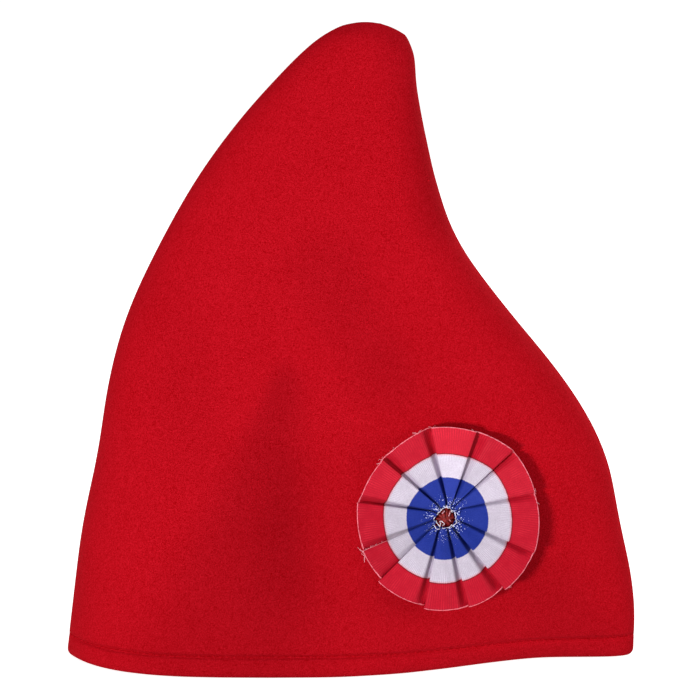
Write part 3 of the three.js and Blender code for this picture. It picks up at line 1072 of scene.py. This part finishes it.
def ribbon_material(settings, length):
    """Ribbed ribbon with three woven stripes, a pale selvage and white core threads at the hole."""
    paint = new_paint("tricolour_ribbon")
    place = paint.place()
    along, across = paint.uv_parts("ribbon")
    colours = {
        "red": settings.red,
        "white": settings.white,
        "blue": settings.blue,
        "pink": blend(settings.white, settings.selvage, 0.4),
        "border": scaled(settings.red, 0.45),
    }
    stops = [(share, colours[name]) for share, name in STRIPES]
    uneven = across + 0.008 * (paint.grain(place, 0.6 * MM) - 0.5)
    stripes = paint.node("ShaderNodeValToRGB", {"stops": stops}, {"Fac": uneven})

    ribs = paint.wave(along * (2 * math.pi * length / RIB_PITCH))
    slub = paint.grain(place, 0.5 * MM, detail=3)
    cloudy = paint.spread(paint.grain(place, 5 * MM), 0.3, 0.7)
    weave = 0.5 * (ribs - 0.5) * cloudy + 0.7 * slub
    raised = paint.spread(weave, 0.05, 0.62)
    darker = paint.mix(1.0, stripes, (0.7, 0.62, 0.7, 1), "MULTIPLY")
    colour = paint.mix(raised, darker, stripes)
    # Painted light and shade: each facet's colour is scaled as if its weave caught more or less sheen,
    # and by a random unevenness.
    tone = paint.attribute("tone")
    light = {"Vector": colour, "Scale": tone * (0.95 + 0.1 * cloudy)}
    colour = paint.node("ShaderNodeVectorMath", {"operation": "SCALE"}, light)
    # Facets painted lighter also get a painted pale sheen; the rest of this mix is a random paleness of
    # the raised weave.
    painted_sheen_and_lint = 0.012 * paint.spread(tone, 0.88, 1.12) + 0.01 * cloudy * raised
    colour = paint.mix(painted_sheen_and_lint, colour, opaque(settings.white))

    near_hole = paint.spread(across, 0.25, 0.04) * paint.spread(paint.grain(place, 4 * MM), 0.3, 0.5)
    # Pale flecks are thread ends; dark flecks are painted shade in the gaps between the ribs.
    for size, reach, name in HOLE_FLECKS:
        cells = paint.node("ShaderNodeTexVoronoi", None, {"Vector": place, "Scale": 1 / (size * MM)})
        colour = paint.mix(cells < reach * near_hole, colour, opaque(getattr(settings, name)))
    cut_edge = (along > 1 - CUT_THREADS / length) * (across > RED_FROM)
    ragged = paint.spread(paint.grain(place, 1.3 * MM), 0.3, 0.7)
    loose_edge = (across + 0.005 * ragged > SELVAGE_FROM) * (0.5 + 0.5 * ragged)
    colour = paint.mix(paint.spread(cut_edge + loose_edge, 0, 1), colour, opaque(settings.selvage))
    return paint.finish(
        {"Specular IOR Level": 0.06, "Sheen Weight": 0.02, "Sheen Roughness": 0.4},
        Base_Color=colour,
        Roughness=0.62 - 0.12 * ribs,
        Normal=paint.bump(weave, WEAVE_DEPTH, 0.5),
    )


def arc_path(points, steps):
    """A smooth path through points, by a rounded line between each pair's middles."""
    line = [Vector(p) for p in points]
    path = [line[0]]
    for before, here, after in zip(line, line[1:], line[2:]):
        first, last = (before + here) / 2, (here + after) / 2
        for i in range(steps + 1):
            t = i / steps
            path.append(first * (1 - t) ** 2 + here * 2 * t * (1 - t) + last * t * t)
    path.append(line[-1])
    return path


def round_hole(angle, radius, height):
    """The point at an angle clockwise from the top, in the cockade's own millimetres."""
    turn = math.radians(angle)
    return Vector((radius * math.sin(turn), radius * math.cos(turn), height))


def placed(paths):
    """Paths in the cockade's own millimetres, set in the frame."""
    place = cockade_place()
    return [[place @ Vector(p) for p in path] for path in paths]


def ways_out(point):
    """Directions in the cockade's plane at a point: away from the middle, and clockwise."""
    out = Vector((point.x, point.y, 0)).normalized()
    return out, Vector((out.y, -out.x, 0))


def rim_frays(ribbon, dice):
    """Loose threads that stand out from the ribbon's rim and its cut end."""
    spots = []
    for row in FRAY_PLACES:
        for _ in range(row["count"]):
            spots.append((row["angle"] + dice.gauss(0, FRAY_SPREAD), row["length"]))
    spots += [(dice.uniform(*FRAYED_RIM), SHORT_FRAY) for _ in range(SHORT_FRAYS)]
    paths = []
    for angle, length in spots:
        root = ribbon.visible_point(angle, FRAY_ROOT)
        out, aside = ways_out(root)
        aside = aside * dice.choice((-1, 1))
        reach = length * dice.uniform(*FRAY_SHARES)
        lean = dice.uniform(*FRAY_LEANS)
        way = (out + aside * lean + Vector((0, 0, dice.uniform(*FRAY_RISES)))).normalized()
        bend = (out * 0.3 + aside).normalized()
        middle = root + way * reach * 0.55
        paths.append(arc_path((root, middle, middle + bend * reach * 0.5), 3))
    for _ in range(CUT_FRAYS):
        root = ribbon.facet_point(len(FOLDS) - 1, "level", 1, dice.uniform(*CUT_FRAY_PLACES))
        out, aside = ways_out(root)
        way = (aside + out * dice.uniform(-0.6, 0.9) + UP * dice.uniform(-0.3, 0.2)).normalized()
        reach = dice.uniform(*CUT_FRAY_LENGTHS)
        paths.append(arc_path((root, root + way * reach / 2, root + way * reach - UP * 0.2), 2))
    return paths


def hole_frays(dice):
    """White core threads in a ragged ring round the hole."""
    paths = []
    for row in RING_THREADS:
        line = [round_hole(a, r, RING_HEIGHT + dice.uniform(-0.2, 0.3)) for a, r in row]
        paths.append(arc_path(line, 4))
    for _ in range(HOLE_ENDS):
        angle = dice.uniform(0, 360)
        radius = dice.uniform(*HOLE_END_RADII) + hole_edge(angle, 0)
        turn = dice.uniform(*HOLE_END_TURNS)
        line = [
            round_hole(angle, radius, dice.uniform(3.0, 3.7)),
            round_hole(angle + turn / 2, radius + dice.uniform(-0.4, 0.5), dice.uniform(3.3, 4.0)),
            round_hole(angle + turn, radius + dice.uniform(-0.3, 0.7), dice.uniform(3.1, 3.8)),
        ]
        paths.append(arc_path(line, 3))
    return paths


def tack_paths():
    """Stitches of tacking thread across the hole, one over another."""
    paths = []
    for row in TACK_STITCHES:
        first, last = (round_hole(row[end], TACK_RADIUS, TACK_FOOT) for end in ("start", "end"))
        crown = round_hole((row["start"] + row["end"]) / 2, TACK_CROWN, row["rise"] + TACK_FOOT)
        near, far = first.lerp(crown, TACK_BEND), last.lerp(crown, TACK_BEND)
        near.z = far.z = row["rise"] + TACK_SHOULDER
        paths.append(arc_path((first, near, crown, far, last), 5))
    return paths


class CAP_OT_felt_panels(bpy.types.Operator):
    """Make the two felt panels with their turned hem"""

    bl_idname = "cap.felt_panels"
    bl_label = "Felt panels"

    def execute(self, context):
        settings = context.scene.cap_felt
        material = felt_material(settings)
        for name, side in PANELS.items():
            piece = felt_panel(name, side, settings, material)
        return {"FINISHED"}


class CAP_OT_hem_stitches(bpy.types.Operator):
    """Sew the hem with a row of small stitches"""

    bl_idname = "cap.hem_stitches"
    bl_label = "Hem stitches"

    def execute(self, context):
        settings = context.scene.cap_felt
        paths = []
        for name in PANELS:
            panel = bpy.data.objects[name + "_felt"]
            paths += stitch_paths(hem_line(panel, settings.hem_height), settings)
        thread = {**HEM_THREAD, "thick": settings.stitch_thread / MM}
        # The hem thread takes the felt's dark fibre colour, half as dark between its plies: partly a dark
        # red thread, partly painted shade along the stitch groove.
        deep = scaled(settings.shade, 0.5)
        add_threads("hem_stitches", paths, thread, settings.shade, deep)
        return {"FINISHED"}


class CAP_OT_cockade_ribbon(bpy.types.Operator):
    """Pleat the striped ribbon into the cockade"""

    bl_idname = "cap.cockade_ribbon"
    bl_label = "Cockade ribbon"

    def execute(self, context):
        settings = context.scene.cap_cockade
        ribbon = Ribbon(settings)
        mesh, length = ribbon_mesh(ribbon)
        material = ribbon_material(settings, length)
        piece = add_piece("pleated_ribbon", mesh, material)
        add_subdivision(piece, RIBBON_LEVELS)
        wall = piece.modifiers.new("ribbon thickness", "SOLIDIFY")
        wall.thickness = settings.thickness
        wall.offset = 0
        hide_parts("cockade_ribbon")
        ribbon.width * MM
        return {"FINISHED"}


class CAP_OT_cockade_frays(bpy.types.Operator):
    """Add the loose threads at the ribbon's rim and round its hole"""

    bl_idname = "cap.cockade_frays"
    bl_label = "Cockade frays"

    def execute(self, context):
        settings = context.scene.cap_cockade
        dice = random.Random(FRAY_SEED)
        rim = placed(rim_frays(Ribbon(settings), dice))
        pink = blend(settings.white, settings.selvage, 0.5)
        add_threads("rim_frays", rim, RIM_THREAD, pink, settings.selvage)
        hole = placed(hole_frays(dice))
        # Painted light: the core threads are made lighter than the ribbon's white, where they catch the
        # lamp.
        painted_lighter_white = scaled(settings.white, 1.2)
        add_threads("hole_frays", hole, CORE_THREAD, painted_lighter_white, settings.white)
        return {"FINISHED"}


class CAP_OT_tack_threads(bpy.types.Operator):
    """Tack the cockade to the felt through its hole"""

    bl_idname = "cap.tack_threads"
    bl_label = "Tack threads"

    def execute(self, context):
        settings = context.scene.cap_cockade
        tack, dark = placed(tack_paths()), scaled(settings.core, 0.3)
        piece = add_threads("tack_threads", tack, TACK_THREAD, settings.core, dark)
        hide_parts("tack_knot")
        # A pale thread over the stitches, partly a painted highlight streak.
        loose = placed(arc_path([round_hole(*p) for p in row], 5) for row in LOOSE_TACK_AND_HIGHLIGHT)
        pale = blend(settings.white, settings.selvage, 0.5)
        add_threads("loose_tack_thread", loose, LOOSE_THREAD_AND_HIGHLIGHT, pale, settings.core)
        return {"FINISHED"}


class CAP_OT_stage(bpy.types.Operator):
    """Set the floor, the light and the camera"""

    bl_idname = "cap.stage"
    bl_label = "Stage"

    def execute(self, context):
        settings = context.scene.cap_stage
        add_floor(settings)
        add_light_all_round(settings)
        for name, place, width in LAMPS:
            add_lamp(name + "_light", place, getattr(settings, name + "_power"), width)
        add_camera(settings)
        context.scene.view_settings.view_transform = "Standard"
        return {"FINISHED"}


def add_floor(settings):
    form = bmesh.new()
    bmesh.ops.create_grid(form, x_segments=1, y_segments=1, size=FLOOR_REACH)
    floor = add_object("floor", mesh_of(form, "floor"))
    look = {
        "Base Color": opaque(settings.floor),
        "Roughness": 0.9,
        "Emission Color": WHITE_LIGHT,
        "Emission Strength": settings.floor_glow,
    }
    floor.data.materials.append(new_paint("pale_floor").finish(look))
    floor.visible_diffuse = False


def add_light_all_round(settings):
    """Even white light, which the camera sees at full strength."""
    paint = Paint(bpy.data.worlds.new("soft_light"), "Background")
    seen = paint.node("ShaderNodeLightPath", output="Is Camera Ray")
    limits = {"Value": seen, "To Min": settings.sky, "To Max": 1}
    strength = paint.node("ShaderNodeMapRange", None, limits)
    bpy.context.scene.world = paint.finish({"Color": WHITE_LIGHT}, Strength=strength)


def add_lamp(name, place, power, width):
    """A square soft light that faces the cap's middle."""
    lamp = bpy.data.lights.new(name, "AREA")
    lamp.energy = power
    lamp.size = width
    holder = add_object(name, lamp)
    holder.location = place
    way = view_middle() - Vector(place)
    holder.rotation_euler = way.to_track_quat("-Z", "Y").to_euler()


def view_middle():
    """The point that the camera looks at, in the cap's middle plane."""
    low, high = (Vector(corner) for corner in CAD_BOX)
    across, up = VIEW_SHARES
    return Vector((low.x + across * (high.x - low.x), SEAM_Y, low.z + up * (high.z - low.z)))


def add_camera(settings):
    camera = bpy.data.cameras.new("camera")
    camera.lens = camera.sensor_width * settings.camera_distance / settings.view_width
    camera.clip_end = VIEW_END
    holder = add_object("camera", camera)
    rise = settings.camera_height
    back = Vector((0, -math.cos(rise), math.sin(rise)))
    holder.location = view_middle() + back * settings.camera_distance
    holder.rotation_euler = (-back).to_track_quat("-Z", "Y").to_euler()
    bpy.context.scene.camera = holder


class CAP_PT_pieces(bpy.types.Panel):
    """The cap's pieces and their settings"""

    bl_idname = "CAP_PT_pieces"
    bl_label = "Phrygian cap"
    bl_space_type = "VIEW_3D"
    bl_region_type = "UI"
    bl_category = "Cap"

    def draw(self, context):
        for group in (context.scene.cap_felt, context.scene.cap_cockade, context.scene.cap_stage):
            box = self.layout.box()
            for name in group.__annotations__:
                box.prop(group, name)
        for operator in OPERATORS:
            self.layout.operator(operator.bl_idname)


SETTINGS = {
    "cap_felt": FeltSettings,
    "cap_cockade": CockadeSettings,
    "cap_stage": StageSettings,
}
OPERATORS = (
    CAP_OT_felt_panels,
    CAP_OT_hem_stitches,
    CAP_OT_cockade_ribbon,
    CAP_OT_cockade_frays,
    CAP_OT_tack_threads,
    CAP_OT_stage,
)
CLASSES = (*SETTINGS.values(), *OPERATORS, CAP_PT_pieces)


def register():
    for group in CLASSES:
        bpy.utils.register_class(group)
    for name, group in SETTINGS.items():
        setattr(bpy.types.Scene, name, bpy.props.PointerProperty(type=group))


def unregister():
    for name in SETTINGS:
        delattr(bpy.types.Scene, name)
    for group in reversed(CLASSES):
        bpy.utils.unregister_class(group)


def main():
    register()
    bpy.ops.cap.felt_panels()
    bpy.ops.cap.hem_stitches()
    bpy.ops.cap.cockade_ribbon()
    bpy.ops.cap.cockade_frays()
    bpy.ops.cap.tack_threads()
    bpy.ops.cap.stage()


if __name__ == "__main__":
    main()
